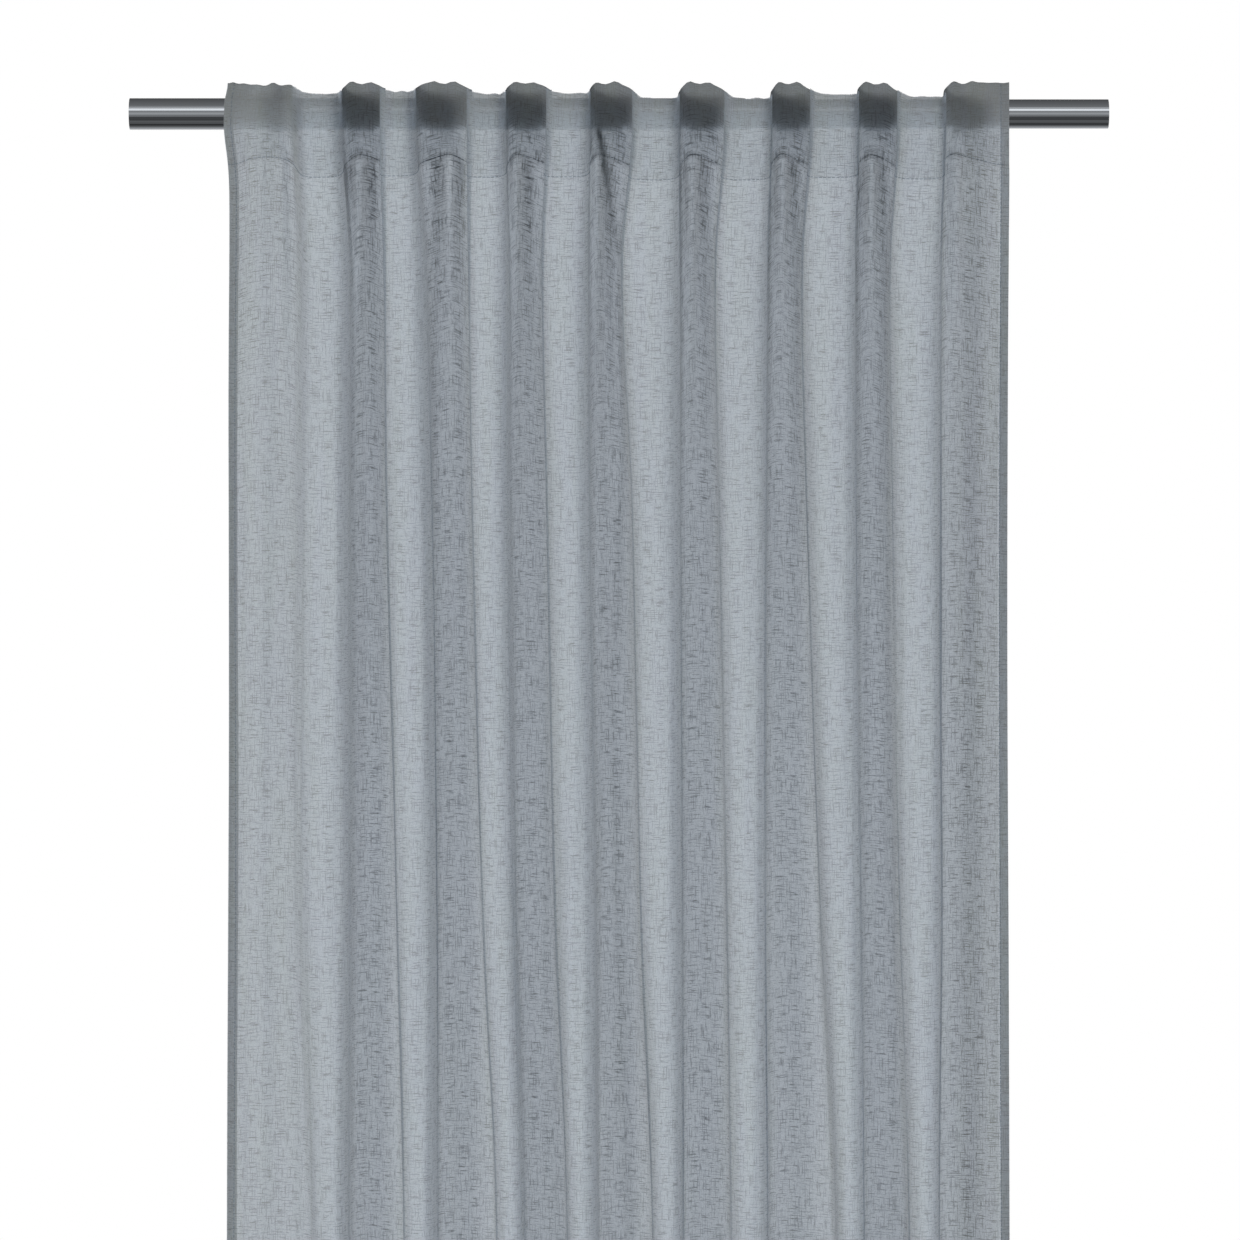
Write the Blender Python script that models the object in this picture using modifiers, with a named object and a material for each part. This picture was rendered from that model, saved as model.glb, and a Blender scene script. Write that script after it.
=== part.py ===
"""One ready-made curtain panel, hung by hidden back loops on a telescopic steel rod.

Metres, +Z up, +X along the rod to the right, -Y towards the room. The origin is on the rod's axis,
midway between its two ends.
"""

import math

import bmesh
import bpy

# The rod: an outer tube, and an inner tube that slides out of it to the right.
ROD_LENGTH = 0.875
OUTER_TUBE_DIAMETER = 0.028
OUTER_TUBE_LENGTH = 0.550
INNER_TUBE_LENGTH = 0.550
TUBE_WALL = 0.0007
TELESCOPE_CLEARANCE = 0.0003
PLUG_LENGTH = 0.014
PLUG_CHAMFER = 0.0004
GLIDE_COLLAR_LENGTH = 0.008
ROUND_SIDES = 48

# The loops that carry the panel, as places along the rod, and the loop band itself.
FIRST_LOOP_X = -0.299
LOOP_GAPS = (0.069, 0.072, 0.076, 0.074, 0.082, 0.079, 0.078, 0.078)
LOOP_WIDTH = 0.022
LOOP_BAND = 0.0009
LOOP_PLAY = 0.0006
LOOP_FLANGE = 0.0065
LOOP_BEND = 0.0015

# The panel as it was cut, and how it hangs.
PANEL_FLAT_WIDTH = 1.400
PANEL_HEIGHT = 2.400
TOP_ABOVE_AXIS = 0.0277
LEFT_MARGIN_FLAT = 0.060
LEFT_MARGIN_HUNG = 0.0515
RIGHT_MARGIN_FLAT = 0.044
RIGHT_MARGIN_HUNG = 0.0405
FLAT_AT_LOOP = 0.024
FOLD_DROOP = 0.018
LEAN_BACK = 0.040
LEAN_STARTS_AT = -0.060
LEAN_HEIGHT = 0.550

# The cloth layers.
CLOTH = 0.0008
TAPE = 0.0006
HEADING_HEIGHT = 0.075
SIDE_HEM_WIDTH = 0.012
BOTTOM_HEM_HEIGHT = 0.090
LAYER_GAP = 0.0003
LAYER_END_GAP = 0.002
TAPE_INSET = 0.004

FOLD_STEPS = 14
MARGIN_STEPS = 5

STEEL = ("brushed steel", (0.62, 0.63, 0.64), 0.28, 1.0)
NYLON = ("grey nylon", (0.30, 0.31, 0.32), 0.45, 0.0)
WEAVE = ("blue-grey linen weave", (0.42, 0.46, 0.49), 0.85, 0.0)
WEBBING = ("white woven tape", (0.72, 0.73, 0.72), 0.90, 0.0)


def clear_scene():
    for thing in list(bpy.data.objects):
        bpy.data.objects.remove(thing, do_unlink=True)


def new_collection(name):
    collection = bpy.data.collections.new(name)
    bpy.context.scene.collection.children.link(collection)
    return collection


def material_of(look):
    name, colour, roughness, metallic = look
    material = bpy.data.materials.get(name)
    if material is None:
        material = bpy.data.materials.new(name)
        material.use_nodes = True
        shader = material.node_tree.nodes["Principled BSDF"]
        shader.inputs["Base Color"].default_value = (*colour, 1.0)
        shader.inputs["Roughness"].default_value = roughness
        shader.inputs["Metallic"].default_value = metallic
    return material


def new_object(name, bm, collection, look):
    mesh = bpy.data.meshes.new(name)
    bm.to_mesh(mesh)
    bm.free()
    mesh.materials.append(material_of(look))
    thing = bpy.data.objects.new(name, mesh)
    collection.objects.link(thing)
    return thing


def turned(name, profile, closed, collection, look):
    """A piece turned about the rod's axis, from (x, radius) points that run left to right outside."""
    bm = bmesh.new()
    verts = [bm.verts.new((x, 0.0, radius)) for x, radius in reversed(profile)]
    for first, second in zip(verts, verts[1:]):
        bm.edges.new((first, second))
    if closed:
        bm.edges.new((verts[-1], verts[0]))
    thing = new_object(name, bm, collection, look)
    screw = thing.modifiers.new("Turn", "SCREW")
    screw.axis = "X"
    screw.angle = 2 * math.pi
    screw.steps = ROUND_SIDES
    screw.render_steps = ROUND_SIDES
    screw.use_merge_vertices = True
    screw.merge_threshold = 0.00001
    screw.use_smooth_shade = True
    return thing


def tube(name, start, end, radius, collection):
    bore = radius - TUBE_WALL
    profile = [(start, bore), (start, radius), (end, radius), (end, bore)]
    return turned(name, profile, True, collection, STEEL)


def plug(name, face_x, inwards, bore, collection):
    """A flush plug: its face is level with the tube's end and its body fills the bore."""
    radius = bore - TELESCOPE_CLEARANCE
    back_x = face_x + inwards * PLUG_LENGTH
    edge_x = back_x - inwards * PLUG_CHAMFER
    profile = [(face_x, 0.0), (face_x, radius), (edge_x, radius)]
    profile += [(back_x, radius - PLUG_CHAMFER), (back_x, 0.0)]
    if inwards < 0:
        profile.reverse()
    return turned(name, profile, False, collection, NYLON)


def glide(name, tube_end_x, bore, collar_radius, collection):
    """The inner tube's hidden end: a spigot in its bore and a collar that runs in the outer tube."""
    spigot = bore - TELESCOPE_CLEARANCE
    collar_end = tube_end_x - TELESCOPE_CLEARANCE
    collar_start = collar_end - GLIDE_COLLAR_LENGTH
    spigot_end = tube_end_x + PLUG_LENGTH
    profile = [(collar_start, 0.0), (collar_start, collar_radius - PLUG_CHAMFER)]
    profile += [(collar_start + PLUG_CHAMFER, collar_radius), (collar_end, collar_radius)]
    profile += [(collar_end, spigot), (spigot_end, spigot), (spigot_end, 0.0)]
    return turned(name, profile, False, collection, NYLON)


def build_rod(collection):
    left = -ROD_LENGTH / 2
    right = ROD_LENGTH / 2
    outer_radius = OUTER_TUBE_DIAMETER / 2
    outer_bore = outer_radius - TUBE_WALL
    inner_radius = outer_bore - TELESCOPE_CLEARANCE
    inner_bore = inner_radius - TUBE_WALL
    hidden_end = right - INNER_TUBE_LENGTH
    tube("rod_outer_tube", left, left + OUTER_TUBE_LENGTH, outer_radius, collection)
    tube("rod_inner_tube", hidden_end, right, inner_radius, collection)
    plug("end_plug_left", left, 1, outer_bore, collection)
    plug("end_plug_right", right, -1, inner_bore, collection)
    glide("glide_collar", hidden_end, inner_bore, inner_radius, collection)


def loop_places():
    places = [FIRST_LOOP_X]
    for gap in LOOP_GAPS:
        places.append(places[-1] + gap)
    return places


def tape_back():
    """How far in front of the axis the tape's back face lies."""
    return OUTER_TUBE_DIAMETER / 2 + LAYER_GAP


def tape_behind_panel():
    """From the middle of the panel's cloth to the middle of the tape, through the turn-over."""
    return CLOTH / 2 + LAYER_GAP + CLOTH + LAYER_GAP + TAPE / 2


def panel_front():
    """How far in front of the axis the middle of the panel's cloth lies at a loop."""
    return tape_back() + TAPE / 2 + tape_behind_panel()


def loop_path():
    """The band's middle line in (y, z): a foot on the tape, over the rod, and back to the tape."""
    reach = OUTER_TUBE_DIAMETER / 2 + LOOP_PLAY + LOOP_BAND / 2
    foot_y = -(tape_back() - LAYER_GAP - LOOP_BAND / 2)
    upper = [(foot_y, reach + LOOP_BEND + LOOP_FLANGE)]
    for step in range(5):
        turn = math.radians(180 + 90 * step / 4)
        upper.append((
            foot_y + LOOP_BEND + LOOP_BEND * math.cos(turn),
            reach + LOOP_BEND + LOOP_BEND * math.sin(turn),
        ))
    for step in range(13):
        turn = math.radians(90 - 90 * step / 12)
        upper.append((reach * math.cos(turn), reach * math.sin(turn)))
    lower = [(y, -z) for y, z in reversed(upper[:-1])]
    return upper + lower


def build_loop(name, place_x, collection):
    bm = bmesh.new()
    line = [bm.verts.new((-LOOP_WIDTH / 2, y, z)) for y, z in loop_path()]
    edges = [bm.edges.new(pair) for pair in zip(line, line[1:])]
    grown = bmesh.ops.extrude_edge_only(bm, edges=edges)["geom"]
    moved = [item for item in grown if isinstance(item, bmesh.types.BMVert)]
    bmesh.ops.translate(bm, verts=moved, vec=(LOOP_WIDTH, 0.0, 0.0))
    loop = new_object(name, bm, collection, WEBBING)
    loop.location.x = place_x
    shell = loop.modifiers.new("Band", "SOLIDIFY")
    shell.thickness = LOOP_BAND
    shell.offset = 0.0
    shell.use_even_offset = True
    return loop


def fold_turn(hung, flat):
    """The largest angle at which a sine-bent strip of length flat turns, to span hung."""
    low, high = 0.0, 2.3
    for _ in range(40):
        middle = (low + high) / 2
        span = sum(math.cos(middle * math.sin(math.pi * (k + 0.5) / 64)) for k in range(64)) / 64
        if span * flat > hung:
            low = middle
        else:
            high = middle
    return (low + high) / 2


def bend(line, hung, flat, steps):
    """Carries the line one fold on: forward, round the front, and back to where it started."""
    turn = fold_turn(hung, flat)
    fine = 40
    x, y, _ = line[-1]
    for step in range(steps):
        for part in range(fine):
            share = (step + (part + 0.5) / fine) / steps
            angle = -turn * math.sin(2 * math.pi * share)
            x += math.cos(angle) * flat / (steps * fine)
            y += math.sin(angle) * flat / (steps * fine)
        line.append((x, y, -turn * math.sin(2 * math.pi * (step + 1) / steps)))


def cloth_line():
    """The panel from above, left to right: (x, y, heading, droop) along the middle of its cloth."""
    flat_pitch = (PANEL_FLAT_WIDTH - LEFT_MARGIN_FLAT - RIGHT_MARGIN_FLAT) / len(LOOP_GAPS)
    half_seat = FLAT_AT_LOOP / 2
    line = [(FIRST_LOOP_X - LEFT_MARGIN_HUNG, -panel_front(), 0.0)]
    bend(line, LEFT_MARGIN_HUNG - half_seat, LEFT_MARGIN_FLAT - half_seat, MARGIN_STEPS)
    places = loop_places()
    for place, gap in zip(places, LOOP_GAPS):
        line.append((place + half_seat, -panel_front(), 0.0))
        bend(line, gap - FLAT_AT_LOOP, flat_pitch - FLAT_AT_LOOP, FOLD_STEPS)
    line.append((places[-1] + half_seat, -panel_front(), 0.0))
    bend(line, RIGHT_MARGIN_HUNG - half_seat, RIGHT_MARGIN_FLAT - half_seat, MARGIN_STEPS)
    deepest = min(y for _, y, _ in line) + panel_front()
    return [(x, y, heading, FOLD_DROOP * (y + panel_front()) / deepest) for x, y, heading in line]


def smooth(share):
    share = min(max(share, 0.0), 1.0)
    return share * share * (3 - 2 * share)


def hang(line, behind, z):
    """The line as it hangs at one height: set back by behind, drooped at the fronts, leaning back."""
    lean = LEAN_BACK * smooth((LEAN_STARTS_AT - z) / LEAN_HEIGHT)
    points = []
    for x, y, heading, droop in line:
        points.append((
            x - behind * math.sin(heading),
            y + behind * math.cos(heading) + lean,
            z - droop,
        ))
    return points


def build_cloth(name, line, heights, behind, thickness, collection, look):
    """A hanging layer, lofted through the line's shape at each height from top to bottom."""
    bm = bmesh.new()
    rows = [[bm.verts.new(point) for point in hang(line, behind, z)] for z in heights]
    for upper, lower in zip(rows, rows[1:]):
        for k in range(len(line) - 1):
            bm.faces.new((upper[k], lower[k], lower[k + 1], upper[k + 1]))
    layer = new_object(name, bm, collection, look)
    shell = layer.modifiers.new("Cloth", "SOLIDIFY")
    shell.thickness = thickness
    shell.offset = 0.0
    for polygon in layer.data.polygons:
        polygon.use_smooth = True
    return layer


def edge_strip(line, width):
    """The first stretch of the line, as long as width."""
    strip = [line[0]]
    run = 0.0
    for point in line[1:]:
        step = math.dist(strip[-1][:2], point[:2])
        if run + step >= width:
            share = (width - run) / step
            strip.append(tuple(a + (b - a) * share for a, b in zip(strip[-1], point)))
            return strip
        strip.append(point)
        run += step
    return strip


def build_curtain(collection):
    top = TOP_ABOVE_AXIS
    bottom = top - PANEL_HEIGHT
    turn_end = top - HEADING_HEIGHT
    hem_top = bottom + BOTTOM_HEM_HEIGHT
    lean_end = LEAN_STARTS_AT - LEAN_HEIGHT
    lean_middle = LEAN_STARTS_AT - LEAN_HEIGHT / 2
    hem_behind = CLOTH + LAYER_GAP
    line = cloth_line()

    heights = (top, turn_end, lean_middle, lean_end, hem_top, bottom)
    build_cloth("curtain_panel", line, heights, 0.0, CLOTH, collection, WEAVE)

    heights = (top, turn_end)
    build_cloth("heading_turnover", line, heights, hem_behind, CLOTH, collection, WEAVE)

    heights = (top - TAPE_INSET, turn_end + TAPE_INSET)
    build_cloth("heading_tape", line, heights, tape_behind_panel(), TAPE, collection, WEBBING)

    heights = (hem_top, bottom)
    build_cloth("bottom_hem", line, heights, hem_behind, CLOTH, collection, WEAVE)

    heights = (turn_end - LAYER_END_GAP, lean_middle, lean_end, hem_top + LAYER_END_GAP)
    left = edge_strip(line, SIDE_HEM_WIDTH)
    right = edge_strip(line[::-1], SIDE_HEM_WIDTH)[::-1]
    build_cloth("side_hem_left", left, heights, hem_behind, CLOTH, collection, WEAVE)
    build_cloth("side_hem_right", right, heights, hem_behind, CLOTH, collection, WEAVE)

    for number, place in enumerate(loop_places(), start=1):
        build_loop(f"back_loop_{number}", place, collection)


def main():
    clear_scene()
    collection = new_collection("window_curtain_on_rod")
    build_rod(collection)
    build_curtain(collection)


main()
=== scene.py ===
import math

import bpy
import numpy as np
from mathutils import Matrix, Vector


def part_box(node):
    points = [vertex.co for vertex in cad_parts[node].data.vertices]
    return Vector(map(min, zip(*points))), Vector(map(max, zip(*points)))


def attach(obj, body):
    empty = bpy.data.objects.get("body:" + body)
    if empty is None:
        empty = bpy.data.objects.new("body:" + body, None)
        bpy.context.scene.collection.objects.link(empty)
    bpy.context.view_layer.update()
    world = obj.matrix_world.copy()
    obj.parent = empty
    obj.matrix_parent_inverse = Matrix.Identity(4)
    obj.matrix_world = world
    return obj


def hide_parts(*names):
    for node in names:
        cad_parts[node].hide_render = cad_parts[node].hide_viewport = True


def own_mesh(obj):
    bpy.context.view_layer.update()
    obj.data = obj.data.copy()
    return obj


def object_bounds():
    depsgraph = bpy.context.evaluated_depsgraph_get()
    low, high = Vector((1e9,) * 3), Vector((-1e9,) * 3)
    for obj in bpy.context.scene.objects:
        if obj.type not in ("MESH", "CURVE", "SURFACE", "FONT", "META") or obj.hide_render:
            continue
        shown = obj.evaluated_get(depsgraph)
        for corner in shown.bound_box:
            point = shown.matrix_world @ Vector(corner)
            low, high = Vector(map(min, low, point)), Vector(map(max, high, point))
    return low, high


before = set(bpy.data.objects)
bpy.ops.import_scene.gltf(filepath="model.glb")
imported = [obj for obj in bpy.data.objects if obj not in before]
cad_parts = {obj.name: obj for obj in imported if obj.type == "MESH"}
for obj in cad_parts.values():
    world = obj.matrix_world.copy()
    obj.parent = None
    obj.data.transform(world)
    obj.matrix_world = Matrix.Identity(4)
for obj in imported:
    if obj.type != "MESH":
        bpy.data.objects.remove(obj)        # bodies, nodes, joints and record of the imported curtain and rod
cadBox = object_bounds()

# the loops and the panel, as the frame has them
loopNames = sorted(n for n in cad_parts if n.startswith("back_loop_"))
loopX = [(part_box(n)[0][0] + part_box(n)[1][0]) / 2 for n in loopNames]
panelLow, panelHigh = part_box("curtain_panel")


def hexColour(code):
    # sRGB hex to linear
    parts = [int(code[k:k + 2], 16) / 255 for k in (1, 3, 5)]
    return [c / 12.92 if c <= 0.04045 else ((c + 0.055) / 1.055) ** 2.4 for c in parts] + [1.0]


def addNode(tree, kind, settings=None, links=None):
    # one node: settings by property, input name or input number, links as input -> output socket
    node = tree.nodes.new(kind)
    for key, value in (settings or {}).items():
        if isinstance(key, str) and hasattr(node, key):
            setattr(node, key, value)
        else:
            node.inputs[key].default_value = value
    for key, source in (links or {}).items():
        tree.links.new(source, node.inputs[key])
    return node


def newMaterial(name):
    material = bpy.data.materials.new(name)
    material.use_nodes = True
    material.node_tree.nodes.clear()
    return material, material.node_tree


def newPiece(name, vertices, faces, material):
    mesh = bpy.data.meshes.new(name)
    mesh.from_pydata(vertices, [], faces)
    mesh.shade_smooth()
    mesh.materials.append(material)
    piece = bpy.data.objects.new(name, mesh)
    bpy.context.scene.collection.objects.link(piece)
    return piece


def smoothStep(low, high, value):
    t = np.clip((value - low) / (high - low), 0, 1)
    return t * t * (3 - 2 * t)


def bell(value, width):
    return np.exp(-(value / width) ** 2)


def ripple(seed, across, down, s, h, count=7):
    # soft seeded unevenness over the cloth: sums of slanting waves, about 1 at the highest
    rng = np.random.default_rng(seed)
    total = 0
    for _ in range(count):
        a, d = across * rng.uniform(0.4, 1.3), down * rng.uniform(-1.0, 1.0)
        total = total + np.sin(2 * math.pi * (a * s + d * h) + rng.uniform(0, 6.3)) * rng.uniform(0.4, 1)
    return total / (0.55 * count)


# The panel as it was cut and as it hangs, in metres. Each fold has its left and its right edge in mm
# from the rod's middle, at the drops below the rod's axis. The folds narrow on their way down and
# lean to the right.
flatWidth, flatHeight = 1.400, 2.400
drape = {
    "drops": [0.00, 0.126, 0.345, 0.703, 0.989, 1.60, 2.40],
    "folds": [
        ([-282, -277, -279, -279, -270, -268, -266], [-246, -239, -240, -240, -241, -238, -234]),
        ([-211, -209, -208, -200, -193, -188, -186], [-180, -172, -167, -163, -162, -158, -154]),
        ([-134, -134, -132, -123, -110, -106, -104], [-100, -98, -98, -93, -85, -80, -76]),
        ([-64, -69, -65, -58, -47, -42, -40], [-25, -27, -26, -21, -19, -14, -10]),
        ([12, 1, 10, 18, 29, 32, 34], [54, 54, 54, 56, 57, 60, 63]),
        ([93, 84, 88, 95, 99, 104, 106], [136, 132, 131, 131, 133, 136, 139]),
        ([169, 161, 166, 179, 193, 196, 198], [213, 210, 211, 216, 219, 222, 226]),
        ([246, 239, 242, 249, 258, 262, 264], [290, 286, 286, 288, 286, 289, 292]),
    ],
    "depth": 0.056,              # how far a fold stands out in front of its loops
    "backAt": -0.0167,           # the cloth's middle at the loops, on the tape
    "leanBack": 0.036,           # below the heading the cloth swings back under the rod
    "leanDrops": (0.06, 0.62),   # between these drops
    "topInset": 0.0017,          # the cloth's top edge below the top of its box
    "loosens": (0.02, 0.22),     # the folds take their lower shape between these drops
    "sideHem": 0.0115,
    "rightHem": 0.0085,          # the right hem is turned a little narrower
    "bottomHem": 0.09,
    "evens": (0.85, 0.07, 0.45),   # how far, and between which drops, the weave's rows level out
    "evenFrom": 0.30,            # below this drop the cloth spreads evenly along its folds
    "columns": 530,
    "headingRows": 20,
    "upperRows": 46,
    "upperHeight": 0.27,
    "lowerRows": 122,
}

# One fold from above, at the heading and low down: x as a share of the fold's width from its left
# edge, and how far forward. The left side turns under itself, the right side slopes back in view.
foldAtHeading = [
    (-0.10, 0.00), (0.08, 0.02), (0.10, 0.32), (0.01, 0.66), (-0.03, 0.97), (0.13, 1.04), (0.45, 1.05),
    (0.76, 1.03), (0.95, 0.92), (1.00, 0.62), (0.98, 0.30), (0.99, 0.03), (1.15, 0.00),
]
foldLowDown = [
    (-0.18, 0.02), (-0.01, 0.09), (0.05, 0.34), (0.01, 0.62), (0.04, 0.86), (0.21, 1.01), (0.50, 1.08),
    (0.78, 1.03), (0.94, 0.85), (1.00, 0.58), (1.01, 0.30), (1.04, 0.09), (1.20, 0.02),
]

# The two ends of the cloth, outside the first front and the last loop. A roll has the distance from the
# edge, how far back the hem curls at the heading, and how much further low down.
ends = {
    "leftInset": 0.0036,
    "leftOut": [(0.0012, 0.10, 0.30), (0.0030, 0.08, 1.3)],    # moves out this far between two drops
    "flare": 0.0052,             # the left edge stands out this much where it passes the rod
    "flareDrop": 0.010,
    "flareReach": 0.034,
    "forward": (0.17, 0.30),     # how far forward the left end hangs, and how much more low down
    "leftRoll": [(0.0, 0.13, 0.11), (0.0045, 0.08, 0.04), (0.012, 0.02, 0.0)],
    "firstBack": 0.002,          # from the edge to here the cloth bulges a little
    "bulge": 0.10,
    "bulgeAt": (0.45, 0.7, 0.9),
    "riseFrom": -0.30,           # the first front rises straight out of the left end, with no turn under:
    "riseStep": 0.085,           # its first points as shares of its width
    "risePoints": 5,
    "riseTop": 0.95,
    "riseOver": (-0.5, 4.6),
    "backGap": -0.04,            # low down the backs hang this far behind the loops
    "lastGap": 0.014,
    "rightInset": 0.0020,
    "rightOut": (0.0034, 0.12, 1.1),
    "rightLift": [(0.012, 0.0), (0.025, 0.03)],
    "rightRoll": [(0.006, 0.08, 0.11), (0.0, 0.08, 0.14)],
}


def hermite(t, knots, values, slopes):
    # cubic through the knots with the given slopes; t is an array
    t = np.asarray(t, float)
    k = np.clip(np.searchsorted(knots, t, side="right") - 1, 0, len(knots) - 2)
    width = knots[k + 1] - knots[k]
    u = (t - knots[k]) / width
    return (values[k] * (1 + 2 * u) * (1 - u) ** 2 + values[k + 1] * u * u * (3 - 2 * u)
            + width * slopes[k] * u * (1 - u) ** 2 - width * slopes[k + 1] * u * u * (1 - u))


def throughDrops(values, drop):
    # a value that changes gently with the drop below the rod
    drops = np.array(drape["drops"])
    v = np.array(values, float)
    inner = (v[2:] - v[:-2]) / (drops[2:] - drops[:-2])
    slopes = np.concatenate([[0.0], inner, [0.0]])
    return float(hermite(np.clip(drop, drops[0], drops[-1]), drops, v, slopes))


def leftEdgeAt(drop):
    edge = panelLow[0] + ends["leftInset"]
    for far, start, stop in ends["leftOut"]:
        edge -= far * float(smoothStep(start, stop, drop))
    return edge - ends["flare"] * float(bell(drop - ends["flareDrop"], ends["flareReach"]))


def foldCage(drop):
    # control points (x, forward share) of the whole line at this drop, left to right
    lower = float(smoothStep(*drape["loosens"], drop))
    shape = np.array(foldAtHeading) * (1 - lower) + np.array(foldLowDown) * lower
    folds = [(throughDrops(left, drop) / 1000, throughDrops(right, drop) / 1000)
             for left, right in drape["folds"]]
    edge = leftEdgeAt(drop)
    loose = ends["forward"][0] + ends["forward"][1] * lower
    firstBack = loopX[0] + ends["firstBack"]
    cage = [(edge + along, loose - back - more * lower) for along, back, more in ends["leftRoll"]]
    cage += [(edge + (firstBack - edge) * u, loose + ends["bulge"] * math.sin(math.pi * u))
             for u in ends["bulgeAt"]]
    for k, (left, right) in enumerate(folds):
        for number, (along, forward) in enumerate(shape):
            if k == 0 and number < ends["risePoints"]:
                along = ends["riseFrom"] + ends["riseStep"] * number
                forward = loose + (ends["riseTop"] - loose) * smoothStep(*ends["riseOver"], number)
            cage.append((left + along * (right - left), forward))
        nextLeft = folds[k + 1][0] if k < len(folds) - 1 else loopX[-1] + ends["lastGap"]
        cage.append(((right + nextLeft) / 2, ends["backGap"] * lower))
    out, start, stop = ends["rightOut"]
    end = panelHigh[0] - ends["rightInset"] + out * float(smoothStep(start, stop, drop))
    cage += [(loopX[-1] + past, forward) for past, forward in ends["rightLift"]]
    cage += [(end - inside, forward - back * lower) for inside, forward, back in ends["rightRoll"]]
    return np.array(cage)


def splinePoints(cage, at):
    # uniform cubic B-spline through the cage, which is carried on past both ends
    cage = np.concatenate([[2 * cage[0] - cage[1]], cage, [2 * cage[-1] - cage[-2]]])
    k = np.clip(np.floor(at).astype(int), 0, len(cage) - 4)
    t = (at - k)[:, None]
    return ((1 - t) ** 3 * cage[k] + (3 * t ** 3 - 6 * t ** 2 + 4) * cage[k + 1]
            + (-3 * t ** 3 + 3 * t ** 2 + 3 * t + 1) * cage[k + 2] + t ** 3 * cage[k + 3]) / 6


def columnPlaces(drop):
    # where the columns sit on the spline, evenly along the cloth at this drop, and their flat place
    cage = foldCage(drop)
    fine = np.linspace(0, len(cage) - 1, 6000)
    line = splinePoints(cage, fine) * [1, drape["depth"]]
    run = np.concatenate([[0], np.cumsum(np.linalg.norm(np.diff(line, axis=0), axis=1))])
    share = np.linspace(0, 1, drape["columns"])
    return np.interp(share * run[-1], run, fine), share * flatWidth


# The doubled heading: its top edge and its lower seam rise over the loops and fall into the fronts.
heading = {
    "turnOver": 0.074,           # height of the doubled heading, flat
    "seamFromTop": 0.0629,       # the seam at the loops, below the top edge
    "topFall": 0.0100,           # the top edge falls this much on its way from a loop into a front
    "topForward": 0.0050,        # and this much more over the fold's depth
    "seamArch": 0.0090,          # the seam arches this high over each loop
    "seamForward": 0.0160,       # and hangs this much lower over the fold's depth
    "seamFollows": 0.6,          # the share of a front's own fall that its seam follows
    "frontLowerMm": [0, -2.0, 0, -0.5, 4.0, 4.0, 0.5, 2.5],   # each front's own extra fall
    "frontRamp": (0.013, 0.012, 0.004, 0.006),     # the fall starts and ends this near a front's edges
    "firstRamp": 0.020,
    "archPower": 1.5,
    "leftArch": (-0.315, 0.030),   # place and reach of the slack arch at the left end
    "lastArch": 0.035,
    "leftDip": (0.0025, -0.317, 0.018),
    "stiffColumns": 9,           # the cloth is a little stiff, so neither line has a kink
    "drawIn": (0.0030, 0.03, 0.02),   # the left corner draws in at the very top
}

# Under each loop the seam gathers a small pleat that fades out on the way down.
pleat = {
    "besideLoopMm": [0, -1.5, 7, -10, -12, -9, -8, -7, -9],   # its place beside its loop
    "shares": [0.3, 1, 1, 1, 1, 1, 1, 1, 0.6],               # the outer two are slack
    "height": 0.0170,
    "width": 0.0058,
    "starts": (0.062, 0.082),
    "fades": (0.085, 0.12),
    "besideAt": 0.0115,          # painted shade on both of its sides
    "besideWidth": 0.0048,
    "paintedShadeBeside": 0.47,
}


def pleatX(k):
    return loopX[k] + pleat["besideLoopMm"][k] / 1000


def headingFalls(x, forward):
    # how far each column's top edge and seam hang below the loops, from its place at the rod
    edges = [(left[0] / 1000, right[0] / 1000) for left, right in drape["folds"]]
    before, inside, inEnd, after = heading["frontRamp"]
    archAt, archReach = heading["leftArch"]
    outside = np.zeros(len(x))
    lower = np.zeros(len(x))
    arch = np.clip(np.abs(x - archAt) / archReach, 0, 1) ** 2 * (x < edges[0][0])
    for k, (left, right) in enumerate(edges):
        start = heading["firstRamp"] if k == 0 else before
        here = smoothStep(left - start, left + inside, x) * (1 - smoothStep(right - inEnd, right + after, x))
        outside = np.maximum(outside, here)
        lower = lower + here * heading["frontLowerMm"][k] / 1000
        arch = np.where((x >= left) & (x <= right), 1.0, arch)
        if k < len(edges) - 1:
            nextLeft = edges[k + 1][0]
            middle = pleatX(k + 1)
            reach = np.where(x < middle, middle - right, nextLeft - middle)
            inGap = (x > right) & (x < nextLeft)
            arch = np.where(inGap, np.abs((x - middle) / reach) ** heading["archPower"], arch)
    arch = np.where(x > edges[-1][1], np.abs(x - pleatX(len(edges))) / heading["lastArch"], arch)
    dip, dipAt, dipWidth = heading["leftDip"]
    topFall = heading["topFall"] * outside + lower + heading["topForward"] * forward
    topFall = topFall + dip * bell(x - dipAt, dipWidth)
    seamFall = heading["seamArch"] * np.clip(arch, 0, 1) + lower * heading["seamFollows"]
    seamFall = seamFall + heading["seamForward"] * forward
    window = np.hanning(heading["stiffColumns"])
    pad = heading["stiffColumns"] // 2
    return [np.convolve(np.pad(fall, pad, mode="edge"), window / window.sum(), "valid")
            for fall in (topFall, seamFall)]


def rowHeights():
    # distance down the cloth from its top edge: close rows in the heading, wider ones below
    turn = heading["turnOver"]
    top = np.linspace(0, turn, drape["headingRows"])
    upper = turn + np.linspace(0, drape["upperHeight"], drape["upperRows"])[1:]
    lower = np.linspace(upper[-1], flatHeight, drape["lowerRows"])[1:]
    return np.concatenate([top, upper, lower])


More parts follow.
